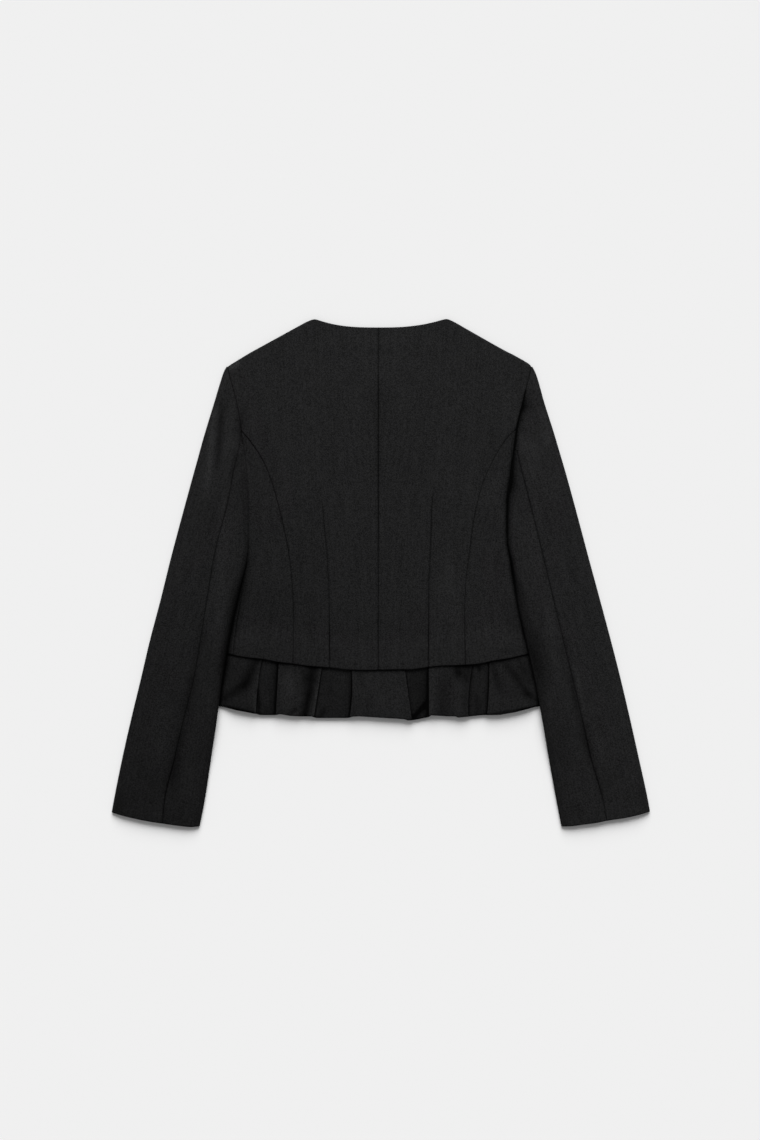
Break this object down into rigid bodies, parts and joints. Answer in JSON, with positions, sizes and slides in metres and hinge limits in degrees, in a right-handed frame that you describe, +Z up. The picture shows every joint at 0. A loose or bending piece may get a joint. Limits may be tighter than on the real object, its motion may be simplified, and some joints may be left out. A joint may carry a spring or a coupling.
{
  "type": "jacket",
  "caption": "Cropped collarless jacket lying flat with its back up, long plain sleeves at its sides and a short pleated peplum at the waist.",
  "frame": {"origin": "middle of the bounding box at the level of the surface it lies on", "axes": "+Z up off the surface, +Y towards the neck, +X towards the sleeve on the right of the back as seen from above"},
  "size_m": [0.6992, 0.6604, 0.0126],
  "materials": {
    "bodice_cloth": "matte black suiting",
    "sleeve_cloth": "matte black suiting",
    "peplum_cloth": "matte black suiting"
  },
  "bodies": {
    "root": {"centre_back_left": "bodice_cloth", "centre_back_right": "bodice_cloth", "side_back_left": "bodice_cloth", "side_back_right": "bodice_cloth", "front_left": "bodice_cloth", "front_right": "bodice_cloth", "sleeve_upper_left": "sleeve_cloth", "sleeve_upper_right": "sleeve_cloth", "sleeve_under_left": "sleeve_cloth", "sleeve_under_right": "sleeve_cloth", "peplum_back": "peplum_cloth", "peplum_front_left": "peplum_cloth", "peplum_front_right": "peplum_cloth"}
  },
  "joints": []
}
